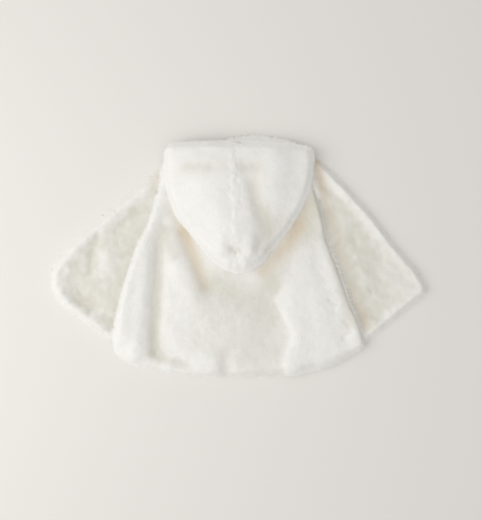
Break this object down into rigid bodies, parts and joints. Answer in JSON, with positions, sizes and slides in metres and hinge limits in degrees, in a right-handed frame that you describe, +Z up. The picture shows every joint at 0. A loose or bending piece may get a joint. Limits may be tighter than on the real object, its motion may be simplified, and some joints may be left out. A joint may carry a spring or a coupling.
{
  "type": "hooded faux fur cape for a small child, laid flat",
  "caption": "Plush hooded cape laid flat with its back up, the fronts spread as wings beneath and the hood turned down over the back.",
  "frame": {"origin": "middle of the part's box seen from above, on the surface that it lies on", "axes": "+X across the cape to the right as it is seen from above, +Y from the hem towards the hood's opening, +Z up from the surface"},
  "size_m": [0.604, 0.3878, 0.0486],
  "materials": {
    "plush_back": "short soft pile, off-white",
    "plush_front": "short soft pile, off-white",
    "plush_hood": "short soft pile, off-white"
  },
  "bodies": {
    "root": {"back": "plush_back", "front_left": "plush_front", "front_right": "plush_front", "hood_left": "plush_hood", "hood_right": "plush_hood"}
  },
  "joints": []
}
